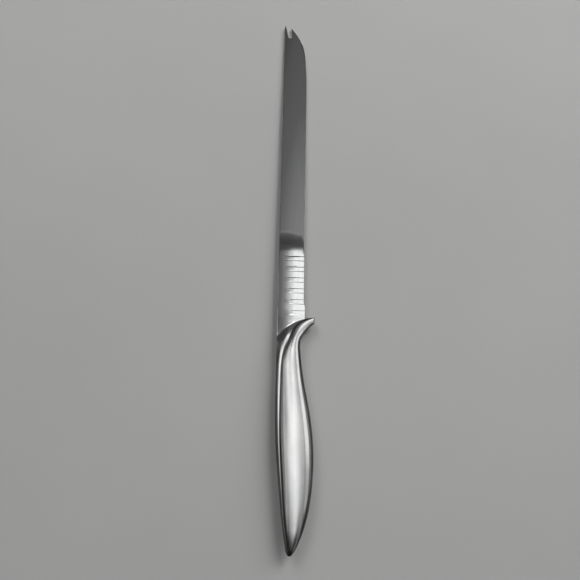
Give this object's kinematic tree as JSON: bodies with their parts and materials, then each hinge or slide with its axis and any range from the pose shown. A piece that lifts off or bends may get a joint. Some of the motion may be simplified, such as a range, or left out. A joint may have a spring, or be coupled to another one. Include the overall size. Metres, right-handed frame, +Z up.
{
  "type": "carving knife",
  "caption": "Slim carving knife with a straight spine, forked tip and fluted heel, in a hollow sculpted metal handle with a hooked finger guard.",
  "frame": {"origin": "under the middle of the knife's box, level with the lowest line of the handle, with the blade's plane level", "axes": "+Y from the butt to the tip, +X from the spine to the cutting edge, +Z up out of the blade's right face"},
  "size_m": [0.0234, 0.3526, 0.0146],
  "materials": {
    "blade_steel": "polished lengthwise",
    "handle_steel": "soft satin",
    "filling_cement": "rough cast"
  },
  "bodies": {
    "root": {"blade": "blade_steel", "handle_shell_right": "handle_steel", "handle_shell_left": "handle_steel", "handle_filling": "filling_cement"}
  },
  "joints": []
}
